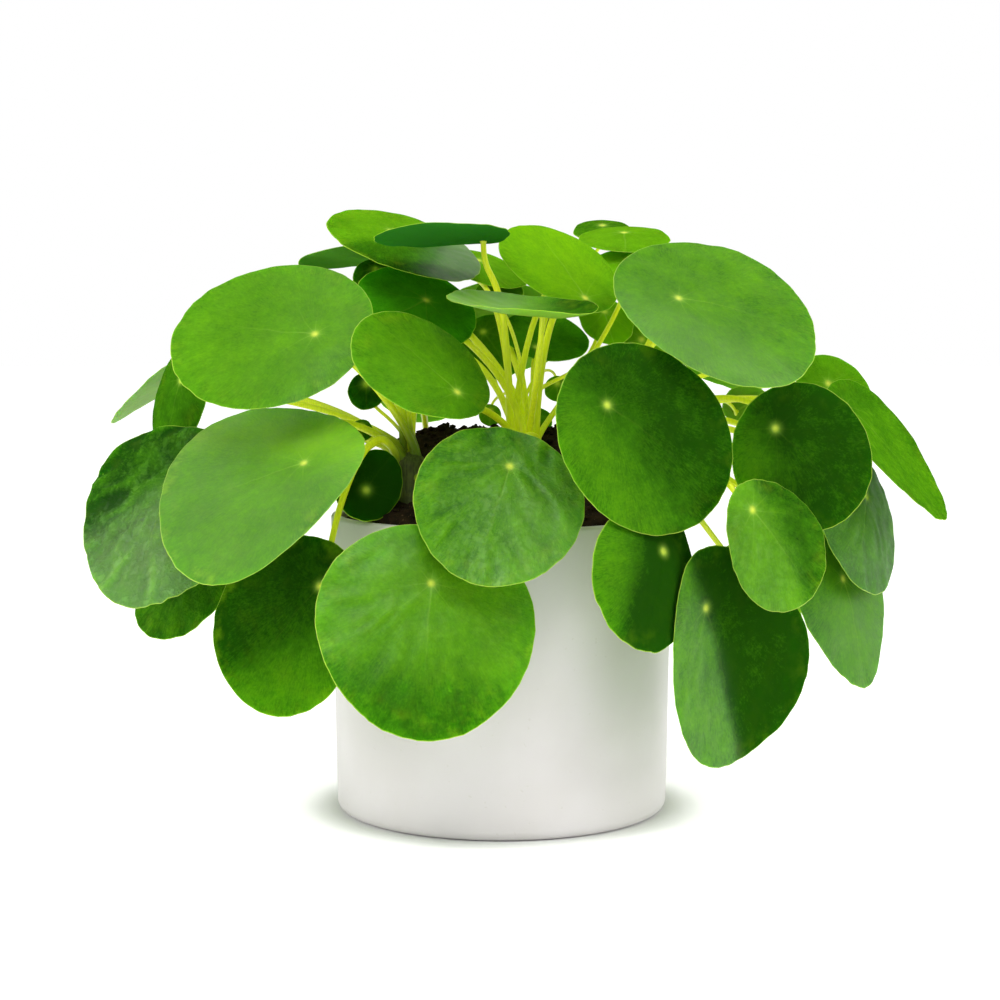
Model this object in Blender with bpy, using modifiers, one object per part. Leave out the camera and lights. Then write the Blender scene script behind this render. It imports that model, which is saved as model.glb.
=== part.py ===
# A pilea, the house plant with round leaves, in a plain white cylindrical pot.
# Metres, +Z up. The origin is the centre of the pot's underside, and the plant's front faces -Y.
import math

import bmesh
import bpy
from mathutils import Matrix, Vector

MM = 0.001
GAP = 0.0003                    # kept between two pieces that touch

# The pot: a straight white cylinder, a little narrower at the foot
POT_HEIGHT = 122 * MM
POT_TOP_RADIUS = 70 * MM
POT_FOOT_RADIUS = 68 * MM
POT_WALL = 4 * MM
POT_FLOOR = 6 * MM
RIM_ROUND = 1.6 * MM
FOOT_ROUND = 4 * MM
POT_SEGMENTS = 48

# The soil: level with the rim at the front, heaped over the root ball towards the back
SOIL_BELOW_RIM = 3.5 * MM
HEAP_HEIGHT = 37 * MM
HEAP_HALF_WIDTH = 58 * MM
HEAP_CREST_Y = 16 * MM
HEAP_FRONT_Y = -64 * MM
HEAP_BACK_Y = 62 * MM
HEAP_SQUARENESS = 5             # how flat its top is from side to side
HEAP_SHOULDER = 0.6             # how steeply its sides drop
SOIL_RINGS = 8
SOIL_SEGMENTS = 32
CRUMB = 0.5 * MM
CRUMB_WAVES = (900, 800)         # radians per metre along X and Y

# The three plantlets: where each short stem stands, and how far up its stalks start
STEMS = {
    "left": {"x": -36, "y": -32, "top": 148, "ladder": 9, "spread": 0.45},
    "mid": {"x": 9, "y": -3, "top": 155, "ladder": 0, "spread": 0.8},
    "right": {"x": 40, "y": -18, "top": 147, "ladder": 0, "spread": 0.5},
}                               # spread: how far off the stem's axis they start, of its radius
LADDER_ABOVE = 20               # mm over the stem's top; leaves lower than this start down its ladder
LADDER_SPAN = 60                # mm; leaves this much lower still start at the ladder's foot
STEM_RADIUS = 6.5 * MM
STEM_TAPER = 0.9                # its top, as a share of its foot
STEM_SIDES = 12
STEM_DEPTH = 30 * MM            # how far a stem stands in the soil
STALK_FOOT_RADIUS = 1.6 * MM
STALK_TIP_RADIUS = 1.1 * MM
STALK_STEPS = 5
STALK_ROOT_DEPTH = 3 * MM       # how far inside its stem a stalk starts
NEXT_STALK = 2.4                # radians round the stem from one stalk to the next
SET_OUT = 0.2                   # how far along the span a stalk's first bend reaches
HOOK = 0.25                     # how far its top end swings under its blade, of its length

# The blades
BLADE_THICKNESS = 0.8 * MM
HUB_REACH = 3.5 * MM            # the straight last bit of a stalk under its blade
SMALL_BLADE = 39                # mm; shorter blades take fewer faces
LARGE_MESH = (3, 16)            # rings and segments
SMALL_MESH = (2, 12)
MIDRIB_ROUND = 0.02             # how softly a folded blade bends along its midrib

# Each leaf, in millimetres and degrees. hub: where the stalk meets the blade. faces, lift: bearing
# (0 is +X, -90 the front) and rise of the upper face's normal. turn: how far the tip swings off
# straight downhill. long, wide: the blade's length, and its width as a share of it. off: how far
# the hub lies from the middle, as a share of half the length. skew: the same sideways.
# egg: wider tip (+) or wider base (-). tip, base, side: how far those edges bend down.
# fold: how far both halves rise off the midrib. rise: how steeply the stalk sets out. over: how
# far it arches over to come in behind a hanging blade.
BLADE_DEFAULTS = dict(turn=0, wide=0.94, off=0.35, skew=0, egg=0, tip=2, base=1, side=2, fold=0,
                      rise=0.3, over=0.35)
FLAT = dict(tip=1, side=1)
LEAVES = {
    "left": [
        # seen from the front
        dict(hub=(-73, -42, 196), faces=-102, lift=44, turn=-96, long=83, off=0.45, tip=4, side=3),
        dict(hub=(-76, -62, 147), faces=-117, lift=48, turn=-61, long=86, wide=1.06, off=0.42,
             egg=0.36, tip=3, side=3, rise=0.8, over=-1),
        dict(hub=(-130, -28, 138), faces=-109, lift=30, turn=-12, long=79, off=0.4, egg=-0.22,
             tip=4, side=4, rise=0.45),
        dict(hub=(-125, -8, 106), faces=-130, lift=36, long=57, off=0.38, rise=0.6),
        dict(hub=(-70, -68, 100), faces=-118, lift=16, turn=-39, long=72, off=0.53, egg=0.09,
             tip=4, side=3, fold=2, rise=0.8, over=1),
        dict(hub=(-26, -98, 105), faces=-77, lift=23, turn=-9, long=82, wide=1.0, off=0.44,
             egg=-0.12, tip=3, side=4),
        dict(hub=(-53, -46, 135), faces=-84, lift=17, turn=147, long=30, wide=0.85, off=0.2,
             egg=-0.1, tip=1),
        dict(hub=(-140, 58, 175), faces=163, lift=56, turn=47, long=52, off=0.4, tip=3, side=-2,
             rise=0.15, over=0.7),
        dict(hub=(-133, 10, 176), faces=-143, lift=15, turn=-6, long=45, off=0.39, rise=0.15,
             over=0),
        dict(hub=(-56, 50, 227), faces=120, lift=76, turn=109, long=44, off=0.56, egg=0.17, **FLAT),
        dict(hub=(-54, 42, 222), faces=-87, lift=39, long=20, **FLAT, over=0.2),
        dict(hub=(-55, -8, 175), faces=-87, lift=22, long=16, **FLAT, over=-0.2),
        dict(hub=(-56, -25, 159), faces=-87, lift=30, long=10, **FLAT, over=0),
        # round the back
        dict(hub=(-88, 48, 200), faces=125, lift=40, long=70),
        dict(hub=(-110, 60, 125), faces=140, lift=25, long=68),
        dict(hub=(-38, 102, 107), faces=108, lift=22, long=72, tip=3, rise=0.6),
        dict(hub=(-140, 30, 125), faces=165, lift=25, long=58),
    ],
    "mid": [
        # seen from the front
        dict(hub=(3, -80, 147), faces=-81, lift=34, turn=-20, long=68, off=0.51, egg=-0.12, side=3, rise=0.1),
        dict(hub=(-17, -58, 174), faces=-54, lift=44, turn=-153, long=59, off=0.59, egg=0.1,
             side=3, rise=0.15),
        dict(hub=(-31, 8, 209), faces=-58, lift=50, turn=-65, long=54, off=0.21, rise=0.45),
        dict(hub=(-46, 25, 238), faces=-51, lift=64, turn=10, long=68, off=0.32, egg=-0.16),
        dict(hub=(-7.5, -8, 233.5), faces=105, lift=81, turn=123, long=56, off=0.77, egg=0.19,
             **FLAT, rise=0.8, over=1),
        dict(hub=(34, -4, 210), faces=-54, lift=48, turn=179, long=56, off=0.7, egg=0.15,
             rise=0.8, over=0.7),
        dict(hub=(16, -40, 203.5), faces=-61, lift=82, turn=-92, long=60, off=0.31, tip=-5,
             base=-5, side=-5, rise=-0.45, over=-1),
        dict(hub=(-8, 64, 195), faces=-95, lift=34, turn=33, long=34, off=0.5, **FLAT, rise=0,
             over=-0.1),
        dict(hub=(15, 32, 189), faces=-70, lift=59, turn=145, long=41, off=0.6, **FLAT),
        dict(hub=(-10, 50, 226), faces=-52, lift=64, long=38, **FLAT, rise=0.8),
        dict(hub=(-1, 45, 215), faces=-90, lift=62, long=22, **FLAT, rise=0.45),
        dict(hub=(45, 89, 242), faces=-90, lift=67, long=28, **FLAT, rise=0.6),
        dict(hub=(53, 58, 238), faces=-92, lift=74, long=42, **FLAT, rise=0.8),
        dict(hub=(54, 36, 225), faces=-93, lift=58, long=38, **FLAT, rise=0, over=0),
        dict(hub=(24, 50, 173), faces=-91, lift=22, long=12, **FLAT, rise=0.45),
        dict(hub=(15, 72, 158), faces=-91, lift=38, long=16, **FLAT, rise=0.45, over=-0.5),
        dict(hub=(-5, 35, 162), faces=-90, lift=23, long=10, **FLAT, rise=0.6),
        dict(hub=(44, 45, 204), faces=-71, lift=40, long=26, **FLAT, rise=0.3, over=-0.5),
        # round the back
        dict(hub=(0, 70, 205), faces=85, lift=50, long=62, rise=0.15),
        dict(hub=(2, 98, 99), faces=88, lift=18, long=78, tip=3, side=3, rise=0.6),
        dict(hub=(-30, 75, 186), faces=105, lift=35, long=56),
    ],
    "right": [
        # seen from the front
        dict(hub=(69, -42, 210), faces=-68, lift=50, turn=75, long=84, wide=1.03, off=0.37,
             egg=0.14, tip=4, side=3),
        dict(hub=(39.5, -82, 170), faces=-64, lift=18, turn=52, long=77.5, off=0.5, egg=0.05,
             tip=3, side=3),
        dict(hub=(107, -44, 159), faces=-77, lift=6, turn=46, long=61, off=0.54, tip=3, side=3),
        dict(hub=(141, -2, 166), faces=-30, lift=40, turn=28, long=74, wide=0.85, off=0.73,
             egg=-0.16, tip=4, side=-2),
        dict(hub=(137, 22, 174), faces=-68, lift=28, turn=33, long=38, off=0.28),
        dict(hub=(100, 34, 162), faces=76, lift=24, turn=-124, long=21, off=0.5, **FLAT),
        dict(hub=(151, 4, 128), faces=-36, lift=21, turn=-41, long=63, wide=0.87, off=0.4,
             egg=0.09, tip=3, side=3),
        dict(hub=(139, -14, 96), faces=-44, lift=15, turn=5, long=65, wide=0.85, off=0.39,
             egg=-0.35, tip=3, side=3),
        dict(hub=(95, -75, 130), faces=-57, lift=13, turn=39, long=54, wide=0.86, off=0.6,
             egg=0.2, tip=3, side=3),
        dict(hub=(61, -82, 115), faces=-47, lift=16, turn=-28, long=58, wide=0.85, off=0.41,
             skew=-0.15, tip=3, side=5),
        dict(hub=(78, -72, 92), faces=-47, lift=1, turn=21, long=88, wide=0.86, off=0.5,
             skew=0.15, egg=0.26, tip=3, side=0, fold=6),
        dict(hub=(60, 45, 192), faces=-93, lift=30, long=28, **FLAT, rise=0.3, over=-0.3),
        # round the back
        dict(hub=(90, 50, 204), faces=50, lift=42, long=66, tip=3, side=3),
        dict(hub=(127, 45, 145), faces=30, lift=28, long=64),
        dict(hub=(62, 75, 165), faces=70, lift=35, long=70),
        dict(hub=(54, 86, 108), faces=60, lift=20, long=72, tip=3, side=3, rise=0.6),
        dict(hub=(110, 45, 89), faces=35, lift=25, long=54),
    ],
}


def clear_scene():
    for item in list(bpy.data.objects):
        bpy.data.objects.remove(item, do_unlink=True)


def new_material(name, colour, roughness):
    material = bpy.data.materials.new(name)
    material.use_nodes = True
    shader = material.node_tree.nodes["Principled BSDF"]
    shader.inputs["Base Color"].default_value = (*colour, 1)
    shader.inputs["Roughness"].default_value = roughness
    shader.inputs["Metallic"].default_value = 0
    return material


def add_object(name, mesh, material, collection):
    item = bpy.data.objects.new(name, mesh)
    collection.objects.link(item)
    if material:
        mesh.materials.clear()
        mesh.materials.append(material)
    return item


def evaluated_mesh(item):
    bpy.context.view_layer.update()
    graph = bpy.context.evaluated_depsgraph_get()
    return bpy.data.meshes.new_from_object(item.evaluated_get(graph))


def apply_modifiers(item):
    mesh = evaluated_mesh(item)
    item.modifiers.clear()
    old = item.data
    item.data = mesh
    bpy.data.meshes.remove(old)


# Turned shapes

def arc(centre_r, centre_z, radius, start, end, steps):
    points = []
    for step in range(steps + 1):
        angle = math.radians(start + (end - start) * step / steps)
        points.append((centre_r + radius * math.cos(angle), centre_z + radius * math.sin(angle)))
    return points


def turned(name, profile, segments, material, collection):
    mesh = bpy.data.meshes.new(name)
    mesh.from_pydata([(r, 0, z) for r, z in profile],
                     [(i, i + 1) for i in range(len(profile) - 1)], [])
    item = add_object(name, mesh, material, collection)
    screw = item.modifiers.new("Turn", "SCREW")
    screw.steps = segments
    screw.render_steps = segments
    screw.use_merge_vertices = True
    screw.merge_threshold = 0.00001
    screw.use_normal_calculate = False
    return item


# The pot

def pot_radius(z):
    return POT_FOOT_RADIUS + (POT_TOP_RADIUS - POT_FOOT_RADIUS) * z / POT_HEIGHT


def make_pot(material, collection):
    top = POT_HEIGHT - RIM_ROUND
    outer_rim = arc(POT_TOP_RADIUS - RIM_ROUND, top, RIM_ROUND, 90, 0, 2)
    foot = arc(POT_FOOT_RADIUS - FOOT_ROUND, FOOT_ROUND, FOOT_ROUND, 0, -90, 3)
    inner_foot_radius = pot_radius(POT_FLOOR) - POT_WALL
    floor_round = arc(inner_foot_radius - FOOT_ROUND, POT_FLOOR + FOOT_ROUND, FOOT_ROUND, -90, 0, 2)
    inner_rim = arc(POT_TOP_RADIUS - POT_WALL + RIM_ROUND, top, RIM_ROUND, 180, 90, 2)
    profile = [(0, POT_FLOOR)] + floor_round + inner_rim + outer_rim + foot + [(0, 0)]
    return turned("pot", profile, POT_SEGMENTS, material, collection)


# The soil

def heap(x, y):
    across = max(0, 1 - (abs(x) / HEAP_HALF_WIDTH) ** HEAP_SQUARENESS) ** HEAP_SHOULDER
    if y < HEAP_CREST_Y:
        along = max(0, (y - HEAP_FRONT_Y) / (HEAP_CREST_Y - HEAP_FRONT_Y))
    else:
        along = max(0, 1 - ((y - HEAP_CREST_Y) / (HEAP_BACK_Y - HEAP_CREST_Y)) ** 2) ** 0.5
    crumbs = math.sin(x * CRUMB_WAVES[0]) * math.sin(y * CRUMB_WAVES[1] + 1)
    return HEAP_HEIGHT * across * along + CRUMB * crumbs


def make_soil(material, collection, cutters):
    level = POT_HEIGHT - SOIL_BELOW_RIM
    floor = POT_FLOOR + GAP
    edge = pot_radius(level) - POT_WALL - GAP
    profile = [(edge * ring / SOIL_RINGS, level) for ring in range(SOIL_RINGS + 1)]
    foot_edge = pot_radius(floor) - POT_WALL - GAP
    profile += [(foot_edge, floor + FOOT_ROUND), (foot_edge - FOOT_ROUND, floor), (0, floor)]
    soil = turned("soil", profile, SOIL_SEGMENTS, material, collection)
    apply_modifiers(soil)
    for vertex in soil.data.vertices:
        x, y, z = vertex.co
        if z > level - 1e-6 and math.hypot(x, y) < edge - 1e-5:
            vertex.co.z = level + heap(x, y)
    holes = bpy.data.collections.new("soil holes")
    cutters.children.link(holes)
    for stem in STEMS.values():
        holes.objects.link(stem_solid("hole", stem, STEM_RADIUS + GAP, GAP, hidden=True))
    bool_with(soil, holes, "DIFFERENCE")
    return soil


# Booleans

def bool_with(item, collection, operation):
    cut = item.modifiers.new("Fuse" if operation == "UNION" else "Holes", "BOOLEAN")
    cut.operation = operation
    cut.operand_type = "COLLECTION"
    cut.collection = collection
    cut.solver = "MANIFOLD"
    apply_modifiers(item)
    for tool in list(collection.objects):
        bpy.data.objects.remove(tool, do_unlink=True)
    bpy.data.collections.remove(collection)


# Stems and stalks

def stem_solid(name, stem, radius, extra, hidden=False):
    top = stem["top"] * MM
    depth = STEM_DEPTH + extra
    bm = bmesh.new()
    bmesh.ops.create_cone(bm, cap_ends=True, segments=STEM_SIDES, radius1=radius,
                          radius2=radius * STEM_TAPER, depth=depth + extra)
    mesh = bpy.data.meshes.new(name)
    bm.to_mesh(mesh)
    bm.free()
    solid = bpy.data.objects.new(name, mesh)
    solid.location = (stem["x"] * MM, stem["y"] * MM, top - depth / 2)
    solid.hide_render = hidden
    solid.display_type = "WIRE" if hidden else "TEXTURED"
    return solid


def blade_axes(leaf):
    faces = math.radians(leaf["faces"])
    lift = math.radians(leaf["lift"])
    outward = Vector((math.cos(faces), math.sin(faces), 0))
    upright = Vector((0, 0, 1))
    normal = outward * math.cos(lift) + upright * math.sin(lift)
    downhill = outward * math.sin(lift) - upright * math.cos(lift)
    tip = Matrix.Rotation(math.radians(leaf["turn"]), 3, normal) @ downhill
    return tip, normal.cross(tip), normal


def stalk_points(stem, leaf, index):
    normal = blade_axes(leaf)[2]
    hub = Vector(leaf["hub"]) * MM
    around = index * NEXT_STALK
    low = min(1, max(0, (stem["top"] + LADDER_ABOVE - leaf["hub"][2]) / LADDER_SPAN))
    top = (stem["top"] - stem["ladder"] * low) * MM
    foot = Vector((stem["x"] * MM, stem["y"] * MM, top - STALK_ROOT_DEPTH))
    foot += Vector((math.cos(around), math.sin(around), 0)) * STEM_RADIUS * stem["spread"]
    end = hub - normal * HUB_REACH
    span = (end - foot).length
    hanging = math.cos(math.radians(leaf["lift"])) ** 2
    leave = foot + (end - foot) * SET_OUT
    leave.z += span * leaf["rise"]
    arrive = end - normal * span * HOOK
    arrive.z += span * leaf["over"] * hanging
    points = []
    for step in range(STALK_STEPS + 1):
        t = step / STALK_STEPS
        s = 1 - t
        points.append(foot * s ** 3 + leave * 3 * s * s * t + arrive * 3 * s * t * t + end * t ** 3)
    points.append(hub - normal * (BLADE_THICKNESS + GAP))
    return points


def stalk(name, points, collection):
    curve = bpy.data.curves.new(name, "CURVE")
    curve.dimensions = "3D"
    curve.bevel_depth = STALK_FOOT_RADIUS
    curve.bevel_resolution = 1
    curve.use_fill_caps = True
    spline = curve.splines.new("POLY")
    spline.points.add(len(points) - 1)
    for index, (place, point) in enumerate(zip(points, spline.points)):
        share = index / (len(points) - 1)
        point.co = (*place, 1)
        point.radius = 1 - share * (1 - STALK_TIP_RADIUS / STALK_FOOT_RADIUS)
    guide = bpy.data.objects.new(name, curve)
    bpy.context.scene.collection.objects.link(guide)
    mesh = evaluated_mesh(guide)
    bpy.data.objects.remove(guide, do_unlink=True)
    bm = bmesh.new()
    bm.from_mesh(mesh)
    bmesh.ops.remove_doubles(bm, verts=bm.verts, dist=0.00001)
    bmesh.ops.recalc_face_normals(bm, faces=bm.faces)
    bm.to_mesh(mesh)
    bm.free()
    item = bpy.data.objects.new(name, mesh)
    collection.objects.link(item)
    return item


def make_stems(which, collection, cutters):
    stem = STEMS[which]
    material = new_material(f"stalk_green_{which}", (0.30, 0.42, 0.03), 0.45)
    solid = stem_solid(f"stems_{which}", stem, STEM_RADIUS, 0)
    collection.objects.link(solid)
    solid.data.materials.append(material)
    stalks = bpy.data.collections.new(f"stalks {which}")
    cutters.children.link(stalks)
    for index, leaf in enumerate(LEAVES[which]):
        full = {**BLADE_DEFAULTS, **leaf}
        stalk(f"stalk_{index}", stalk_points(stem, full, index), stalks)
    bool_with(solid, stalks, "UNION")
    solid.data.shade_smooth()
    return solid


# Blades

def blade_rim(leaf, angle):
    half = leaf["long"] / 2
    u = half * (leaf["off"] + math.cos(angle))
    v = half * leaf["wide"] * (math.sin(angle) * (1 + leaf["egg"] * math.cos(angle)) + leaf["skew"])
    return u, v


def blade_height(leaf, u, v):
    half = leaf["long"] / 2
    across = v / (half * leaf["wide"])
    toward_tip = max(u, 0) / (half * (1 + leaf["off"]))
    toward_base = min(u, 0) / (half * (1 - leaf["off"]))
    fold = leaf["fold"] * (math.sqrt(across * across + MIDRIB_ROUND) - math.sqrt(MIDRIB_ROUND))
    droop = leaf["tip"] * toward_tip ** 2 + leaf["base"] * toward_base ** 2 + leaf["side"] * across ** 2
    return fold - droop


def polar_disc(rings, segments):
    bm = bmesh.new()
    spoke = [bm.verts.new((ring / rings, 0, 0)) for ring in range(rings + 1)]
    edges = [bm.edges.new(pair) for pair in zip(spoke, spoke[1:])]
    bmesh.ops.spin(bm, geom=spoke + edges, cent=(0, 0, 0), axis=(0, 0, 1), angle=math.tau,
                   steps=segments, use_merge=True)
    bmesh.ops.remove_doubles(bm, verts=bm.verts, dist=0.0001)
    bmesh.ops.triangulate(bm, faces=bm.faces)
    for face in bm.faces:
        if face.normal.z < 0:
            face.normal_flip()
    return bm


def make_blade(name, leaf, material, collection):
    leaf = {**BLADE_DEFAULTS, **leaf}
    bm = polar_disc(*(SMALL_MESH if leaf["long"] < SMALL_BLADE else LARGE_MESH))
    for vertex in bm.verts:
        share = vertex.co.length
        u, v = blade_rim(leaf, math.atan2(vertex.co.y, vertex.co.x))
        u *= share
        v *= share
        vertex.co = Vector((u, v, blade_height(leaf, u, v))) * MM
    mesh = bpy.data.meshes.new(name)
    bm.to_mesh(mesh)
    bm.free()
    blade = add_object(name, mesh, material, collection)
    blade.location = Vector(leaf["hub"]) * MM
    blade.rotation_euler = Matrix(blade_axes(leaf)).transposed().to_euler()
    shell = blade.modifiers.new("Thickness", "SOLIDIFY")
    shell.thickness = BLADE_THICKNESS
    shell.offset = -1
    blade.data.shade_smooth()
    return blade


def build():
    clear_scene()
    plant = bpy.data.collections.new("potted pilea")
    cutters = bpy.data.collections.new("cutters")
    bpy.context.scene.collection.children.link(plant)
    bpy.context.scene.collection.children.link(cutters)
    make_pot(new_material("pot_white", (0.80, 0.78, 0.75), 0.45), plant)
    make_soil(new_material("soil_dark", (0.025, 0.015, 0.010), 0.95), plant, cutters)
    for which, leaves in LEAVES.items():
        make_stems(which, plant, cutters)
        for number, leaf in enumerate(leaves, 1):
            name = f"leaf_{which}_{number}"
            make_blade(name, leaf, new_material(name, (0.09, 0.30, 0.02), 0.35), plant)
    bpy.data.collections.remove(cutters)


build()
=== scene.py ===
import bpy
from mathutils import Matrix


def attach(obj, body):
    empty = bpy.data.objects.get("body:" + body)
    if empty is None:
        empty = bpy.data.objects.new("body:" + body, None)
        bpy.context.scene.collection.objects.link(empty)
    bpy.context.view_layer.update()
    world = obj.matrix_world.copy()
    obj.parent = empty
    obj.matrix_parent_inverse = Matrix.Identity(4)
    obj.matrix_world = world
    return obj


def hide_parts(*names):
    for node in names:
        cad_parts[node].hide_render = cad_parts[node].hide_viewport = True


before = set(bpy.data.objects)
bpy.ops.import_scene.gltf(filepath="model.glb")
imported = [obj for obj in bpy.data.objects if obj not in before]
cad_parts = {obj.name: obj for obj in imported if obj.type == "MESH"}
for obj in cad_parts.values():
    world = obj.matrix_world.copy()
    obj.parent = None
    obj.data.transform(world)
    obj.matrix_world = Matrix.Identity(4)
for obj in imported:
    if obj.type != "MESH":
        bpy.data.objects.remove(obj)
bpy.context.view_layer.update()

# Potted pilea plant: fine leaves, stalks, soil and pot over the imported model, in a plain bright studio.
# Lengths are in millimetres until they go on a mesh, an object or a light.
import math
import random

import bmesh
import bpy
from mathutils import Matrix, Vector, noise

mm = 0.001
upright = Vector((0, 0, 1))


class Wire:                                     # a socket that sums can be written with
    def __init__(self, tree, socket=None):
        self.tree = tree
        self.socket = socket

    def node(self, kind, settings, sockets, output=0):
        made = self.tree.nodes.new("ShaderNode" + kind)
        for key, value in settings.items():
            if key == "stops":
                ramp = made.color_ramp
                while len(ramp.elements) < len(value):
                    ramp.elements.new(0.5)
                for element, (place, colour) in zip(ramp.elements, value):
                    element.position = place
                    element.color = (*colour, 1)
            else:
                setattr(made, key, value)
        for key, value in sockets.items():
            if isinstance(value, Wire):
                self.tree.links.new(value.socket, made.inputs[key])
            else:
                made.inputs[key].default_value = value
        return Wire(self.tree, made.outputs[output])

    def out(self, name):
        return Wire(self.tree, self.socket.node.outputs[name])

    def sums(self, operation, *values):
        return self.node("Math", {"operation": operation}, dict(enumerate(values)))

    def __add__(self, other): return self.sums("ADD", self, other)
    def __radd__(self, other): return self.sums("ADD", other, self)
    def __sub__(self, other): return self.sums("SUBTRACT", self, other)
    def __rsub__(self, other): return self.sums("SUBTRACT", other, self)
    def __mul__(self, other): return self.sums("MULTIPLY", self, other)
    def __rmul__(self, other): return self.sums("MULTIPLY", other, self)
    def __truediv__(self, other): return self.sums("DIVIDE", self, other)
    def __rtruediv__(self, other): return self.sums("DIVIDE", other, self)
    def __pow__(self, other): return self.sums("POWER", self, other)
    def __abs__(self): return self.sums("ABSOLUTE", self)

    def fade(self, start, end, low=0.0, high=1.0):      # smooth step from low at start to high at end
        return self.node("MapRange", {"interpolation_type": "SMOOTHSTEP"},
                         {"Value": self, "From Min": start, "From Max": end, "To Min": low, "To Max": high})

    def blend(self, first, second):                     # this value mixes two colours
        pair = [value if isinstance(value, Wire) else (*value, 1) for value in (first, second)]
        return self.node("Mix", {"data_type": "RGBA"}, {0: self, 6: pair[0], 7: pair[1]}, 2)

    def tint(self, colour, amount):                     # this colour times another, by an amount
        other = colour if isinstance(colour, Wire) else (*colour, 1)
        return self.node("Mix", {"data_type": "RGBA", "blend_type": "MULTIPLY"},
                         {0: amount, 6: self, 7: other}, 2)

    def vector(self, operation, other):
        key = "Scale" if operation == "SCALE" else 1
        return self.node("VectorMath", {"operation": operation}, {0: self, key: other})

    def grain(self, scale, detail=2.0, roughness=0.5):  # noise on this vector, 0 to 1
        return self.node("TexNoise", {}, {"Vector": self, "Scale": scale, "Detail": detail,
                                          "Roughness": roughness})


def newMaterial(name, **constants):
    material = bpy.data.materials.new(name)
    material.use_nodes = True
    tree = material.node_tree
    shader = tree.nodes["Principled BSDF"]
    for key, value in constants.items():
        shader.inputs[key.replace("_", " ")].default_value = value
    return material, Wire(tree), shader.inputs


def plug(inputs, **wires):
    for key, wire in wires.items():
        wire.tree.links.new(wire.socket, inputs[key.replace("_", " ")])


def addPiece(name, bm, material):
    mesh = bpy.data.meshes.new(name)
    bm.to_mesh(mesh)
    bm.free()
    mesh.materials.append(material)
    mesh.shade_smooth()
    piece = bpy.data.objects.new(name, mesh)
    bpy.context.scene.collection.objects.link(piece)
    return piece


def standFor(piece, slot, *nodes):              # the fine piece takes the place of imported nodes
    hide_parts(*nodes)
    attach(piece, "root")


def joinRings(bm, rings):                       # quads between neighbouring rings of vertices
    for lower, upper in zip(rings, rings[1:]):
        for i in range(len(lower)):
            j = (i + 1) % len(lower)
            bm.faces.new((lower[i], lower[j], upper[j], upper[i]))


def capRing(bm, ring, middle, flip=False):      # triangles from a ring to one vertex
    for i, corner in enumerate(ring):
        after = ring[(i + 1) % len(ring)]
        bm.faces.new((after, corner, middle) if flip else (corner, after, middle))


# The camera stands where the photo was taken from
camera = {"place": (-0.7, -924, 210.5), "down": 5.17, "lens": 81.2, "nearest": 10}

eye = bpy.data.objects.new("camera", bpy.data.cameras.new("camera"))
eye.data.lens = camera["lens"]
eye.data.clip_start = camera["nearest"] * mm
eye.location = Vector(camera["place"]) * mm
eye.rotation_euler = (math.radians(90 - camera["down"]), 0, 0)
bpy.context.scene.collection.objects.link(eye)
bpy.context.scene.camera = eye
bpy.context.scene.view_settings.view_transform = "Standard"
print("camera set")


# The pot: a turned white cylinder
pot = {"topRadius": 70, "footRadius": 68, "height": 122, "wall": 4, "floor": 6,
       "rimRound": 1.6, "footRound": 4, "segments": 160, "insideSteps": 6, "rimSteps": 5, "wallSteps": 12,
       "footSteps": 8, "glaze": (0.735, 0.705, 0.705), "warm": (0.70, 0.67, 0.66), "pit": (0.62, 0.59, 0.54),
       "rough": 0.42, "bump": 0.25, "bumpDepth": 0.12}


def potRadius(z):
    return pot["footRadius"] + (pot["topRadius"] - pot["footRadius"]) * z / pot["height"]


def arc(centreR, centreZ, radius, start, end, steps):
    turns = [math.radians(start + (end - start) * step / steps) for step in range(steps + 1)]
    return [(centreR + radius * math.cos(a), centreZ + radius * math.sin(a)) for a in turns]


def potMaterial():
    material, wire, inputs = newMaterial("white satin glaze", Specular_IOR_Level=0.45)
    place = wire.node("TexCoord", {}, {}, "Object")
    clouds = place.grain(28, 3)
    fine = place.grain(900, 2)
    turned = place.vector("MULTIPLY", (40, 40, 900)).grain(1, 2)          # faint throwing lines
    pits = place.grain(420, 1).fade(0.72, 0.8)
    colour = clouds.fade(0.3, 0.7).blend(pot["glaze"], pot["warm"])
    plug(inputs, Base_Color=(pits * 0.35).blend(colour, pot["pit"]),
         Roughness=pot["rough"] + (clouds - 0.5) * 0.16 + (fine - 0.5) * 0.08)
    relief = fine * 0.35 + turned * 0.5 - pits
    plug(inputs, Normal=wire.node("Bump", {}, {"Strength": pot["bump"], "Distance": pot["bumpDepth"] * mm,
                                               "Height": relief}))
    return material


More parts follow.
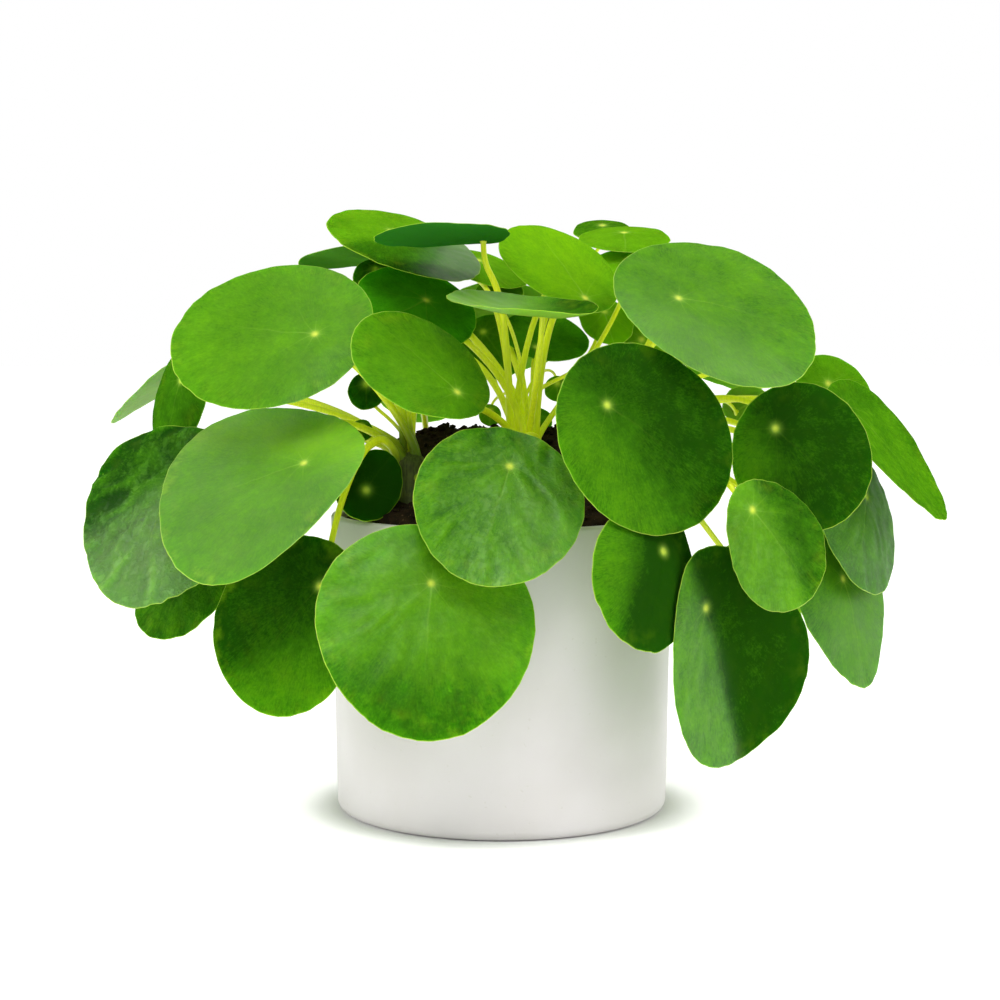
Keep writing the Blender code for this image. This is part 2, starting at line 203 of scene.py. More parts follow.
def makePot():
    top = pot["height"] - pot["rimRound"]
    innerFoot = potRadius(pot["floor"]) - pot["wall"]
    profile = arc(innerFoot - pot["footRound"], pot["floor"] + pot["footRound"], pot["footRound"], -90, 0,
                  pot["insideSteps"])
    innerTop = pot["topRadius"] - pot["wall"] + pot["rimRound"]
    profile += arc(innerTop, top, pot["rimRound"], 180, 90, pot["rimSteps"])
    profile += arc(pot["topRadius"] - pot["rimRound"], top, pot["rimRound"], 90, 0, pot["rimSteps"])
    for step in range(1, pot["wallSteps"]):
        z = top + (pot["footRound"] - top) * step / pot["wallSteps"]
        profile.append((potRadius(z), z))
    profile += arc(pot["footRadius"] - pot["footRound"], pot["footRound"], pot["footRound"], 0, -90,
                   pot["footSteps"])
    bm = bmesh.new()
    rings = []
    for r, z in profile:
        rings.append([bm.verts.new((r * math.cos(a) * mm, r * math.sin(a) * mm, z * mm))
                      for a in (math.tau * i / pot["segments"] for i in range(pot["segments"]))])
    joinRings(bm, rings)
    capRing(bm, rings[0], bm.verts.new((0, 0, pot["floor"] * mm)), flip=True)
    capRing(bm, rings[-1], bm.verts.new((0, 0, 0)))
    bmesh.ops.recalc_face_normals(bm, faces=bm.faces)
    standFor(addPiece("pot_glazed", bm, potMaterial()), "pot_white", "pot")


makePot()
print("pot made")


# The soil: a crumbly mound with loose lumps on it
soil = {"belowRim": 3.5, "gap": 0.3, "heap": 37, "halfWidth": 58, "crestY": 16, "frontY": -64, "backY": 62,
        "square": 5, "shoulder": 0.6, "rings": 64, "segments": 150,
        "clod": 7, "clodHeight": 1.2, "clodNoise": (0.8, 2.1, 4), "crumb": 1.9, "crumbHeight": 0.5, "shades": 4,
        "lumps": 900, "lumpSeed": 11, "lumpInset": 3, "lumpSmallest": 0.7, "lumpSpread": 1.5,
        "lumpWide": (0.6, 1), "lumpTall": (0.5, 0.9), "lumpBumps": 0.35, "lumpKnobs": 1.7, "lumpLift": 0.3,
        "bump": 0.8, "bumpDepth": 0.7,
        "dark": (0.004, 0.0025, 0.0015), "brown": (0.030, 0.016, 0.008), "straw": (0.14, 0.085, 0.045)}


def heapHeight(x, y):
    across = max(0, 1 - (abs(x) / soil["halfWidth"]) ** soil["square"]) ** soil["shoulder"]
    if y < soil["crestY"]:
        along = max(0, (y - soil["frontY"]) / (soil["crestY"] - soil["frontY"]))
    else:
        along = max(0, 1 - ((y - soil["crestY"]) / (soil["backY"] - soil["crestY"])) ** 2) ** 0.5
    return soil["heap"] * across * along


def soilTop(x, y):
    spot = Vector((x, y, 0))
    rough = noise.fractal(spot / soil["clod"], *soil["clodNoise"]) * soil["clodHeight"]
    rough += noise.noise(spot / soil["crumb"]) * soil["crumbHeight"]
    return pot["height"] - soil["belowRim"] + heapHeight(x, y) + rough


def soilMaterial():
    material, wire, inputs = newMaterial("potting soil", Specular_IOR_Level=0.12)
    place = wire.node("TexCoord", {}, {}, "Object")
    clods = place.grain(260, 4, 0.65)
    fibres = place.vector("MULTIPLY", (1500, 320, 700)).grain(1, 2).fade(0.66, 0.74)
    shade = wire.node("Attribute", {"attribute_name": "shade"}, {}, "Fac")
    colour = (clods.fade(0.35, 0.7) * 0.7 + shade * 0.5).blend(soil["dark"], soil["brown"])
    plug(inputs, Base_Color=(fibres * 0.5).blend(colour, soil["straw"]), Roughness=0.8 + clods * 0.2)
    relief = clods + place.grain(900, 3) * 0.6
    plug(inputs, Normal=wire.node("Bump", {}, {"Strength": soil["bump"], "Distance": soil["bumpDepth"] * mm,
                                               "Height": relief}))
    return material


def makeSoil():
    chance = random.Random(soil["lumpSeed"])
    level = pot["height"] - soil["belowRim"]
    edge = potRadius(level) - pot["wall"] - soil["gap"]
    bm = bmesh.new()
    shade = bm.verts.layers.float.new("shade")
    count = soil["segments"]
    middle = bm.verts.new((0, 0, soilTop(0, 0) * mm))
    rings = []
    for ring in range(1, soil["rings"] + 1):
        r = edge * ring / soil["rings"]
        turns = [math.tau * i / count for i in range(count)]
        rings.append([bm.verts.new(Vector((r * math.cos(a), r * math.sin(a),
                                           soilTop(r * math.cos(a), r * math.sin(a)))) * mm) for a in turns])
    floor = pot["floor"] + soil["gap"]
    footEdge = potRadius(floor) - pot["wall"] - soil["gap"]
    for r, z in ((footEdge, floor + pot["footRound"]), (footEdge - pot["footRound"], floor)):
        rings.append([bm.verts.new(Vector((r * math.cos(a), r * math.sin(a), z)) * mm)
                      for a in (math.tau * i / count for i in range(count))])
    joinRings(bm, rings)
    capRing(bm, rings[0], middle, flip=True)
    capRing(bm, rings[-1], bm.verts.new((0, 0, floor * mm)))
    bmesh.ops.recalc_face_normals(bm, faces=bm.faces)
    for vertex in bm.verts:
        vertex[shade] = 0.5 + 0.5 * noise.noise(vertex.co / mm / soil["shades"])
    for lump in range(soil["lumps"]):
        r = (edge - soil["lumpInset"]) * math.sqrt(chance.random())
        a = chance.uniform(0, math.tau)
        size = soil["lumpSmallest"] + soil["lumpSpread"] * chance.random() ** 3
        x, y = r * math.cos(a), r * math.sin(a)
        tone = chance.random()
        wide, tall = chance.uniform(*soil["lumpWide"]), chance.uniform(*soil["lumpTall"])
        stretch = Matrix.Diagonal((size, size * wide, size * tall, 1))
        turn = Matrix.Rotation(chance.uniform(0, math.tau), 4, "Z")
        lift = Matrix.Translation((x, y, soilTop(x, y) + size * soil["lumpLift"]))
        made = bmesh.ops.create_icosphere(bm, subdivisions=1, radius=1)["verts"]
        for vertex in made:
            knob = noise.noise(vertex.co * soil["lumpKnobs"] + Vector((lump, 0, 0)))
            vertex.co = (lift @ turn @ stretch @ (vertex.co * (1 + soil["lumpBumps"] * knob))) * mm
            vertex[shade] = tone
    standFor(addPiece("soil_mound", bm, soilMaterial()), "soil_dark", "soil")


makeSoil()
print("soil made")


# The leaves, in millimetres and degrees. hub: where the stalk meets the blade. faces, lift: bearing
# (0 is +X, -90 the front) and rise of the upper face. turn: how far the tip swings off straight
# downhill. long: length. wide: width as a share of it. off, skew: how far the hub sits off the middle,
# lengthways and sideways, as shares. egg: broader towards the tip, or below 0 towards the base.
# tip, base, side, fold: how far the edges bend down and the halves rise. rise, over: the stalk's arch.
# age: the leaf's tone, 0 bright and 1 deep; partly its own colour, lighter when young and deeper when old, and
# partly painted shade
# and light for how lit it is. deeper: painted shade over part of the blade, painted light where the amount is
# below 0, seen from the front (which way, how much, from where, how softly). shine: the same for the sheen,
# real gloss with a painted sheen.
# quilt: how puckered. fleck: yellow mottling. wax: gloss all over, with a painted sheen on the glossiest
# leaves.
# cool: bluish green, with painted shade that darkens the underside.
bladeDefaults = dict(turn=0, wide=0.94, off=0.35, skew=0, egg=0, tip=2, base=1, side=2, fold=0, rise=0.3,
                     over=0.35, toneAndShade=0.5, paintedLightAndShade=(0, 0, 0, 0.3), shine=(0, 0, 0, 0.3), quilt=0.25, fleck=0.4,
                     glossAndPaintedSheen=0.5, coolTintAndUnderShade=0)
flat = dict(tip=1, side=1)
leaves = {
    "left": [
        # seen from the front
        dict(hub=(-73, -42, 196), faces=-102, lift=44, turn=-96, long=83, off=0.45, tip=4, side=3, toneAndShade=0.48,
             shine=(0, 0.3, -0.3, 0.4), fleck=0.5, glossAndPaintedSheen=0.15),
        dict(hub=(-76, -62, 147), faces=-117, lift=48, turn=-61, long=86, wide=1.06, off=0.42, egg=0.36, tip=3,
             side=3, rise=0.8, over=-1, toneAndShade=0.53, paintedLightAndShade=(85, -0.4, 0.05, 0.12), fleck=1, glossAndPaintedSheen=0.68),
        dict(hub=(-130, -28, 138), faces=-109, lift=30, turn=-12, long=79, off=0.4, egg=-0.22, tip=4, side=4,
             rise=0.45, toneAndShade=0.6, paintedLightAndShade=(135, 0.2, 0.2, 0.3), shine=(-65, 0.7, -0.1, 0.3), quilt=1.7, fleck=0.2,
             glossAndPaintedSheen=0.26),
        dict(hub=(-125, -8, 106), faces=-130, lift=36, long=57, off=0.38, rise=0.6, toneAndShade=0.7, quilt=0.8,
             glossAndPaintedSheen=0.1),
        dict(hub=(-70, -68, 100), faces=-118, lift=16, turn=-39, long=72, off=0.53, egg=0.09, tip=4, side=3,
             fold=2, rise=0.8, over=1, toneAndShade=0.62, paintedLightAndShade=(110, 0.35, -0.55, 0.2), fleck=0.6, glossAndPaintedSheen=0),
        dict(hub=(-26, -98, 105), faces=-77, lift=23, turn=-9, long=82, wide=1.0, off=0.44, egg=-0.12, tip=3,
             side=4, toneAndShade=0.42, paintedLightAndShade=(-100, 0.34, 0.8, 0.25), quilt=0.6, fleck=1, glossAndPaintedSheen=0.55),
        dict(hub=(-53, -46, 135), faces=-84, lift=17, turn=147, long=30, wide=0.85, off=0.2, egg=-0.1, tip=1,
             toneAndShade=1, fleck=0, glossAndPaintedSheen=0),
        dict(hub=(-140, 58, 175), faces=163, lift=56, turn=47, long=52, off=0.4, tip=3, side=-2, rise=0.15,
             over=0.7, toneAndShade=0.15, glossAndPaintedSheen=1),
        dict(hub=(-133, 10, 176), faces=-143, lift=15, turn=-6, long=45, off=0.39, rise=0.15, over=0, toneAndShade=0.79,
             glossAndPaintedSheen=0),
        dict(hub=(-56, 50, 227), faces=120, lift=76, turn=109, long=44, off=0.56, egg=0.17, **flat, toneAndShade=0.9,
             glossAndPaintedSheen=0, coolTintAndUnderShade=0.8),
        dict(hub=(-54, 42, 222), faces=-87, lift=39, long=20, **flat, over=0.2, toneAndShade=0.7, glossAndPaintedSheen=0),
        dict(hub=(-55, -8, 175), faces=-87, lift=22, long=16, **flat, over=-0.2, toneAndShade=0.88, fleck=0, glossAndPaintedSheen=0,
             coolTintAndUnderShade=0.5),
        dict(hub=(-56, -25, 159), faces=-87, lift=30, long=10, **flat, over=0, toneAndShade=0.6, fleck=0, glossAndPaintedSheen=0),
        # round the back
        dict(hub=(-88, 48, 200), faces=125, lift=40, long=70, toneAndShade=0.55),
        dict(hub=(-110, 60, 125), faces=140, lift=25, long=68, toneAndShade=0.65),
        dict(hub=(-38, 102, 107), faces=108, lift=22, long=72, tip=3, rise=0.6),
        dict(hub=(-140, 30, 125), faces=165, lift=25, long=58, toneAndShade=0.7),
    ],
    "mid": [
        # seen from the front
        dict(hub=(3, -80, 147), faces=-81, lift=34, turn=-20, long=68, off=0.51, egg=-0.12, side=3, rise=0.1,
             toneAndShade=0.52, paintedLightAndShade=(95, 0.16, 0.3, 0.4), shine=(-30, 0.52, 0, 0.4), quilt=0.9, fleck=0.8, glossAndPaintedSheen=0.2),
        dict(hub=(-17, -58, 174), faces=-54, lift=44, turn=-153, long=59, off=0.59, egg=0.1, side=3, rise=0.15,
             toneAndShade=0.53, paintedLightAndShade=(-30, 0.12, 0.3, 0.3), quilt=0.4, fleck=0.7, glossAndPaintedSheen=0.1),
        dict(hub=(-31, 8, 209), faces=-58, lift=50, turn=-65, long=54, off=0.21, rise=0.45, fleck=0, glossAndPaintedSheen=0,
             coolTintAndUnderShade=0.85),
        dict(hub=(-46, 25, 238), faces=-51, lift=64, turn=10, long=68, off=0.32, egg=-0.16, toneAndShade=0.45,
             paintedLightAndShade=(-90, 0.38, 0.13, 0.05), shine=(-25, 0.8, 0.55, 0.15), fleck=0.6, glossAndPaintedSheen=0),
        dict(hub=(-7.5, -8, 233.5), faces=105, lift=81, turn=123, long=56, off=0.77, egg=0.19, **flat, rise=0.8,
             over=1, toneAndShade=0.9, fleck=0, glossAndPaintedSheen=0, coolTintAndUnderShade=1),
        dict(hub=(34, -4, 210), faces=-54, lift=48, turn=179, long=56, off=0.7, egg=0.15, rise=0.8, over=0.7,
             toneAndShade=0.26, paintedLightAndShade=(-50, 0.36, 0.15, 0.3), glossAndPaintedSheen=0),
        dict(hub=(16, -40, 203.5), faces=-61, lift=82, turn=-92, long=60, off=0.31, tip=-5, base=-5, side=-5,
             rise=-0.45, over=-1, toneAndShade=0.9, paintedLightAndShade=(180, -0.5, -0.1, 0.3), shine=(180, 0.75, 0.1, 0.3), glossAndPaintedSheen=0),
        dict(hub=(-8, 64, 195), faces=-95, lift=34, turn=33, long=34, off=0.5, **flat, rise=0, over=-0.1,
             toneAndShade=0.55, glossAndPaintedSheen=0.1),
        dict(hub=(15, 32, 189), faces=-70, lift=59, turn=145, long=41, off=0.6, **flat, toneAndShade=0.6, fleck=0, glossAndPaintedSheen=0,
             coolTintAndUnderShade=0.4),
        dict(hub=(-10, 50, 226), faces=-52, lift=64, long=38, **flat, rise=0.8, toneAndShade=0.42, glossAndPaintedSheen=0),
        dict(hub=(-1, 45, 215), faces=-90, lift=62, long=22, **flat, rise=0.45, glossAndPaintedSheen=0),
        dict(hub=(45, 89, 242), faces=-90, lift=67, long=28, **flat, rise=0.6, toneAndShade=0.7, glossAndPaintedSheen=0),
        dict(hub=(53, 58, 238), faces=-92, lift=74, long=42, **flat, rise=0.8, toneAndShade=0.42, glossAndPaintedSheen=0),
        dict(hub=(54, 36, 225), faces=-93, lift=58, long=38, **flat, rise=0, over=0, toneAndShade=0.15, glossAndPaintedSheen=0, coolTintAndUnderShade=0.3),
        dict(hub=(24, 50, 173), faces=-91, lift=22, long=12, **flat, rise=0.45, toneAndShade=0.4, fleck=0, glossAndPaintedSheen=0),
        dict(hub=(15, 72, 158), faces=-91, lift=38, long=16, **flat, rise=0.45, over=-0.5, toneAndShade=0.42, fleck=0,
             glossAndPaintedSheen=0),
        dict(hub=(-5, 35, 162), faces=-90, lift=23, long=10, **flat, rise=0.6, toneAndShade=0.25, fleck=0, glossAndPaintedSheen=0),
        dict(hub=(44, 45, 204), faces=-71, lift=40, long=26, **flat, over=-0.5, toneAndShade=0.18, glossAndPaintedSheen=0),
        # round the back
        dict(hub=(0, 70, 205), faces=85, lift=50, long=62, rise=0.15),
        dict(hub=(2, 98, 99), faces=88, lift=18, long=78, tip=3, side=3, rise=0.6, toneAndShade=0.65),
        dict(hub=(-30, 75, 186), faces=105, lift=35, long=56, toneAndShade=0.6),
    ],
    "right": [
        # seen from the front
        dict(hub=(69, -42, 210), faces=-68, lift=50, turn=75, long=84, wide=1.03, off=0.37, egg=0.14, tip=4,
             side=3, toneAndShade=0.55, shine=(-110, 0.45, 0, 0.25), fleck=0.3, glossAndPaintedSheen=0.3),
        dict(hub=(39.5, -82, 170), faces=-64, lift=18, turn=52, long=77.5, off=0.5, egg=0.05, tip=3, side=3,
             toneAndShade=0.58, paintedLightAndShade=(40, 0.38, -0.12, 0.28), quilt=0.3, fleck=0.2, glossAndPaintedSheen=0.1),
        dict(hub=(107, -44, 159), faces=-77, lift=6, turn=46, long=61, off=0.54, tip=3, side=3, toneAndShade=0.64,
             paintedLightAndShade=(20, 0.34, -0.2, 0.2), fleck=0.15, glossAndPaintedSheen=0.05),
        dict(hub=(141, -2, 166), faces=-30, lift=40, turn=28, long=74, wide=0.85, off=0.73, egg=-0.16, tip=4,
             side=-2, toneAndShade=0.66, glossAndPaintedSheen=0),
        dict(hub=(137, 22, 174), faces=-68, lift=28, turn=33, long=38, off=0.28, toneAndShade=0.49, glossAndPaintedSheen=0),
        dict(hub=(100, 34, 162), faces=76, lift=24, turn=-124, long=21, off=0.5, **flat, toneAndShade=0.7, glossAndPaintedSheen=0),
        dict(hub=(151, 4, 128), faces=-36, lift=21, turn=-41, long=63, wide=0.87, off=0.4, egg=0.09, tip=3,
             side=3, toneAndShade=0.72, quilt=0.5, fleck=0, glossAndPaintedSheen=0.7),
        dict(hub=(139, -14, 96), faces=-44, lift=15, turn=5, long=65, wide=0.85, off=0.39, egg=-0.35, tip=3,
             side=3, toneAndShade=0.61, shine=(-60, 0.2, 0, 0.3), fleck=0.2, glossAndPaintedSheen=0.48),
        dict(hub=(95, -75, 130), faces=-57, lift=13, turn=39, long=54, wide=0.86, off=0.6, egg=0.2, tip=3,
             side=3, toneAndShade=0.42, paintedLightAndShade=(25, 0.36, 0.22, 0.15), quilt=0.7, fleck=0.5, glossAndPaintedSheen=0.6),
        dict(hub=(61, -82, 115), faces=-47, lift=16, turn=-28, long=58, wide=0.85, off=0.41, skew=-0.15, tip=3,
             side=5, toneAndShade=0.56, paintedLightAndShade=(-10, 0.62, -0.3, 0.2), fleck=0.2, glossAndPaintedSheen=0.1),
        dict(hub=(78, -72, 92), faces=-47, lift=1, turn=21, long=88, wide=0.86, off=0.5, skew=0.15, egg=0.26,
             tip=3, side=0, fold=6, toneAndShade=0.6, paintedLightAndShade=(15, 0.42, -0.02, 0.05), shine=(195, 0.34, -0.02, 0.05),
             quilt=0.4, fleck=0.2, glossAndPaintedSheen=0.25),
        dict(hub=(60, 45, 192), faces=-93, lift=30, long=28, **flat, over=-0.3, toneAndShade=0.18, glossAndPaintedSheen=0),
        # round the back
        dict(hub=(90, 50, 204), faces=50, lift=42, long=66, tip=3, side=3, toneAndShade=0.55),
        dict(hub=(127, 45, 145), faces=30, lift=28, long=64, toneAndShade=0.6),
        dict(hub=(62, 75, 165), faces=70, lift=35, long=70, toneAndShade=0.45),
        dict(hub=(54, 86, 108), faces=60, lift=20, long=72, tip=3, side=3, rise=0.6, toneAndShade=0.6),
        dict(hub=(110, 45, 89), faces=35, lift=25, long=54, toneAndShade=0.7),
    ],
}
# The blades' form in millimetres, then their veins and grain, then their colours
blade = {"thick": 0.8, "rimThick": 0.32, "dimple": 0.45, "dimpleWidth": 2.6, "midribRound": 0.02,
         "waves": 0.7, "waveLength": 19, "ripple": 0.5, "rippleLength": 9,
         "scallop": 0.45, "scallopLength": 4.2, "calmNearHub": 9, "fullSize": 60, "seedStep": 7.3,
         "puckerSlant": 38, "puckerLong": 11, "puckerWide": 4.2, "puckerDrift": 15,
         "largeFrom": 48, "mediumFrom": 25, "segments": (120, 72, 40), "puckeredFrom": 0.6,
         "rimInset": 0.06, "rimShare": 0.5, "waxLoss": 2.5,
         "patches": 0.11, "clouds": 0.045, "cells": 0.34, "speckle": 1.0, "creases": 0.2, "creaseBend": 7.0,
         "spokes": 24.0, "veinStart": 0.6, "midribLong": 46, "midribWide": 0.7, "veinWide": 0.45,
         "veinPale": 0.55,
         "sideVeins": ((38, 26, -0.006), (-41, 28, 0.006), (84, 15, 0.004), (-79, 17, -0.004), (128, 9, 0),
                       (-135, 10, 0), (178, 7, 0)),
         "rings": (0.03, 0.065, 0.11, 0.17, 0.24, 0.31, 0.39, 0.47, 0.55, 0.63, 0.7, 0.77, 0.83, 0.88,
                   0.925, 0.96, 0.985),
         "underRings": (0.97, 0.9, 0.78, 0.6, 0.4, 0.2, 0.06),
         "tones": ((0, (0.20, 0.47, 0.004)), (0.4, (0.105, 0.31, 0.005)), (0.75, (0.036, 0.15, 0.003)),
                   (1, (0.010, 0.058, 0.002))),
         "fleckColour": (0.24, 0.46, 0.008), "vein": (0.28, 0.50, 0.05), "hub": (0.72, 0.80, 0.09),
         "paintedSheen": (0.31, 0.48, 0.19), "rimLine": (0.33, 0.52, 0.05), "under": (0.21, 0.43, 0.03),
         "underShade": (0.11, 0.28, 0.03), "paintedUnderShade": (0.022, 0.15, 0.012), "coolTint": (0.5, 1, 1),
         "rough": 0.42, "underRough": 0.6, "bump": 0.6, "bumpDepth": 0.16}


def bladeAxes(leaf):                            # towards the tip, sideways and out of the upper face
    faces = math.radians(leaf["faces"])
    lift = math.radians(leaf["lift"])
    outward = Vector((math.cos(faces), math.sin(faces), 0))
    normal = outward * math.cos(lift) + upright * math.sin(lift)
    downhill = outward * math.sin(lift) - upright * math.cos(lift)
    tip = Matrix.Rotation(math.radians(leaf["turn"]), 3, normal) @ downhill
    return tip, normal.cross(tip), normal


def bladeRim(leaf, angle):
    half = leaf["long"] / 2
    u = half * (leaf["off"] + math.cos(angle))
    v = half * leaf["wide"] * (math.sin(angle) * (1 + leaf["egg"] * math.cos(angle)) + leaf["skew"])
    return Vector((u, v))


def bladeHeight(leaf, u, v):                    # the smooth cup that the CAD blade has too
    half = leaf["long"] / 2
    across = v / (half * leaf["wide"])
    towardTip = max(u, 0) / (half * (1 + leaf["off"]))
    towardBase = min(u, 0) / (half * (1 - leaf["off"]))
    midrib = blade["midribRound"]
    fold = leaf["fold"] * (math.sqrt(across * across + midrib) - math.sqrt(midrib))
    return fold - (leaf["tip"] * towardTip ** 2 + leaf["base"] * towardBase ** 2 + leaf["side"] * across ** 2)


def puckers(spot, seed):                        # long soft puckers that lie between the side veins
    slant = math.radians(blade["puckerSlant"])
    along = spot.x * math.cos(slant) + abs(spot.y) * math.sin(slant)
    across = abs(spot.y) * math.cos(slant) - spot.x * math.sin(slant)
    drift = noise.noise(Vector((spot.x, spot.y, seed)) / blade["puckerDrift"]) * 1.5
    return noise.noise(Vector((along / blade["puckerLong"], across / blade["puckerWide"] + drift, seed * 31)))


def bladePoint(leaf, angle, share, seed):       # the upper face, with its waves, ripple and puckers
    rim = bladeRim(leaf, angle)
    way = Vector((math.cos(angle), math.sin(angle), 0)) * leaf["long"] / 2
    notch = noise.noise(way / blade["scallopLength"] + Vector((0, 0, seed)))
    spot = rim * share * (1 + blade["scallop"] * notch * share ** 6 / max(rim.length, 1))
    size = min(1, leaf["long"] / blade["fullSize"])
    height = bladeHeight(leaf, *spot)
    height -= blade["dimple"] * size * math.exp(-(spot.length / blade["dimpleWidth"] / size) ** 2)
    far = min(1, spot.length / blade["calmNearHub"])
    flatSpot = Vector((spot.x, spot.y, seed * 31))
    height += blade["waves"] * size * far * noise.noise(flatSpot / blade["waveLength"])
    puff = puckers(spot, seed) * far
    height += leaf["quilt"] * size * puff
    ripple = noise.noise(way / blade["rippleLength"] + Vector((seed, 5, 0)))
    height += blade["ripple"] * size * share ** 4 * ripple
    return spot, height, rim.length * (1 - share), puff


def leafMaterial():
    material, wire, inputs = newMaterial("pilea leaf", Specular_IOR_Level=0, Coat_Roughness=0.38, Coat_IOR=1.5,
                                         Subsurface_Weight=0.8, Subsurface_Radius=(0.6, 1, 0.15),
                                         Subsurface_Scale=0.0016)

    def stored(name):                                   # the vector that makeLeaf wrote, and its parts
        vector = wire.node("Attribute", {"attribute_name": name}, {}, "Vector")
        first = wire.node("SeparateXYZ", {}, {"Vector": vector})
        return vector, first, first.out("Y"), first.out("Z")

    spot, u, v, seed = stored("spot")
    _, gap, under, toneAndShade = stored("form")
    _, fleck, coolTintAndUnderShade, glossAndPaintedSheen = stored("looks")
    _, crinkle, puff, _ = stored("crinkle")
    reach = (u * u + v * v) ** 0.5
    heading = wire.node("CombineXYZ", {}, {"X": u / (reach + 0.01), "Y": v / (reach + 0.01)})

    patches = spot.grain(blade["patches"], 3, 0.6)
    clouds = spot.grain(blade["clouds"], 2)
    cells = spot.grain(blade["cells"], 4, 0.62)
    speckle = spot.grain(blade["speckle"], 3, 0.7)
    bent = spot.vector("ADD", patches.out("Color").vector("SCALE", blade["creaseBend"]))
    net = abs(bent.grain(blade["creases"], 3, 0.6) - 0.5).fade(0, 0.16)         # puffed between fine creases
    outwards = wire.node("CombineXYZ", {}, {"Z": reach / 6 + seed})
    spokes = heading.vector("SCALE", blade["spokes"]).vector("ADD", outwards)
    strokes = abs(spokes.grain(1, 3, 0.6) - 0.5).fade(0.09, 0)      # short creases that run to the margin
    threads = spokes.vector("MULTIPLY", (2.6, 2.6, 2.0)).grain(1, 3, 0.65)      # fine streaks out of the hub
    margin = gap.fade(13, 0.5) * patches.fade(0.38, 0.6)

    def ray(degrees, length, width, bend):              # one vein out of the hub
        turn = math.radians(degrees)
        along = u * math.cos(turn) + v * math.sin(turn)
        across = v * math.cos(turn) - u * math.sin(turn) + along * along * bend
        wave = (clouds - 0.5) * 5 + (patches - 0.5) * 1.6
        line = abs(across + wave * along.fade(2, 20)).fade(width, 0)
        line = line * along.fade(blade["veinStart"], blade["veinStart"] + 1.5)
        return line * along.fade(length, length * 0.3)

    midrib = ray(0, blade["midribLong"], blade["midribWide"], 0.0)
    veins = midrib
    for degrees, length, bend in blade["sideVeins"]:
        veins = veins.sums("MAXIMUM", veins, ray(degrees, length, blade["veinWide"], bend) * blade["veinPale"])

    # the blade's tone: its own colour together with the painted shade and light set for each leaf
    tone = toneAndShade + (clouds - 0.5) * 0.3 + (patches - 0.5) * 0.26 + (cells - 0.5) * 0.24 + (speckle - 0.5) * 0.3
    # painted light and shade on the puckers: lighter where the blade bulges, darker in its hollows and along
    # the creases
    tone = tone + (threads - 0.5) * reach.fade(2, 12) * 0.3 - puff * crinkle * 0.22
    tone = tone + (1 - net) * crinkle * 0.08 + strokes * margin * 0.14
    colour = wire.node("ValToRGB", {"stops": blade["tones"]}, {"Fac": tone}, "Color")
    colour = colour.tint(blade["coolTint"], coolTintAndUnderShade)
    yellow = patches.fade(0.46, 0.72) * (0.15 + 0.85 * gap.fade(12, 1)) * fleck
    colour = (yellow * 0.5).blend(colour, blade["fleckColour"])
    pale = (1.05 - toneAndShade) * 1.2                               # darker leaves hide their veins
    colour = (veins * pale * (0.22 + 0.3 * reach.fade(10, 1.5))).blend(colour, blade["vein"])
    colour = ((reach.fade(6, 0.5) ** 3) * 0.6).blend(colour, blade["vein"])
    colour = ((reach.fade(2.5, 0.2) ** 1.5) * (speckle * 0.6 + 0.3 + pale * 0.3)).blend(colour, blade["hub"])
    lower = (veins * 0.5).blend(blade["under"], blade["rimLine"])
    lower = ((patches - 0.5) * 0.6 + 0.3).blend(lower, blade["underShade"])
    # painted shade: the underside of a cool leaf goes dark
    lower = coolTintAndUnderShade.blend(lower, blade["paintedUnderShade"])
    colour = under.blend(colour, lower)
    # painted sheen: a pale grey-green haze laid over the glossiest leaves, as if they caught the light
    colour = (glossAndPaintedSheen.fade(0.55, 1) * (cells * 0.4 + 0.12 + under * 0.4)).blend(colour, blade["paintedSheen"])
    colour = (gap.fade(0.42, 0.12) * patches.fade(0.25, 0.7, 0.45, 0.85)).blend(colour, blade["rimLine"])
    relief = speckle * 0.9 + cells * 0.8 + threads * 0.8 + patches * 0.8 + net * crinkle * 2.4
    relief = relief - strokes * margin * 0.9 - midrib * (0.4 + crinkle) * 1.6 * (1 - under)
    relief = relief + veins * (under * 2 - 0.6)
    dull = (1 - net) * crinkle.fade(0, 1.2) * 0.6           # the creases carry less gloss
    shine = glossAndPaintedSheen * (1 - under) * patches.fade(0.2, 0.75, 0.75, 1.1) * (1 - dull)
    plug(inputs, Base_Color=colour, Coat_Weight=shine * (0.8 + speckle * 0.4),
         Roughness=under.fade(0, 1, blade["rough"], blade["underRough"]) + (speckle - 0.5) * 0.12
         + (clouds - 0.5) * 0.12)
    plug(inputs, Normal=wire.node("Bump", {}, {"Strength": blade["bump"], "Distance": blade["bumpDepth"] * mm,
                                               "Height": relief}))
    return material


